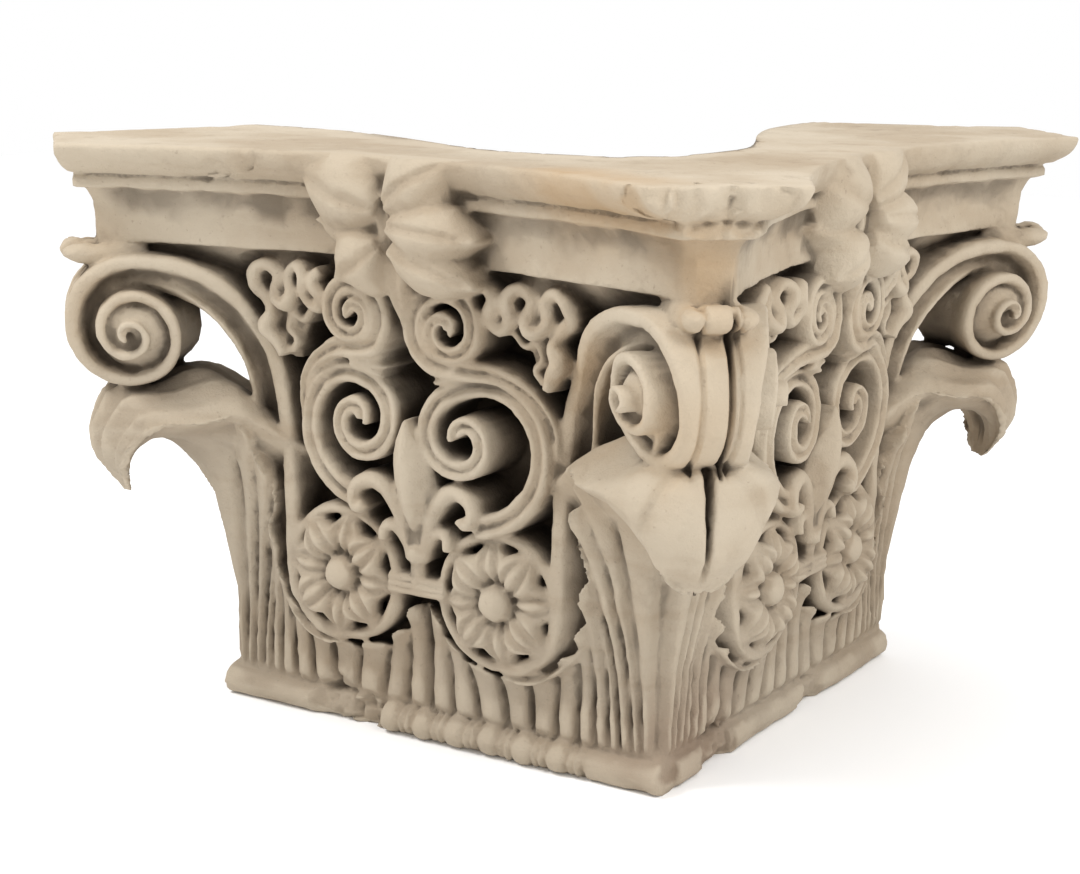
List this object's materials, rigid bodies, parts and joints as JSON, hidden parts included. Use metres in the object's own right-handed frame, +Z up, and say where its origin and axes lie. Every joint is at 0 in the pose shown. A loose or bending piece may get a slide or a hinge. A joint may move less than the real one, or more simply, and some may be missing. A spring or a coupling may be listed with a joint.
{
  "type": "corinthian capital",
  "caption": "Carved corner pier capital of the Corinthian kind, L-shaped in plan, with scroll horns, leaves, paired scrolls and flower rings under a moulded abacus.",
  "frame": {"origin": "centre of the full square that the L-shaped base is cut from, on the plane of the underside", "axes": "+Z up; the front face looks along -Y and the right face along +X; the notch opens towards -X and +Y"},
  "size_m": [0.9962, 0.9962, 0.6838],
  "materials": {
    "stone": "matt"
  },
  "bodies": {
    "root": {"capital": "stone"}
  },
  "joints": []
}
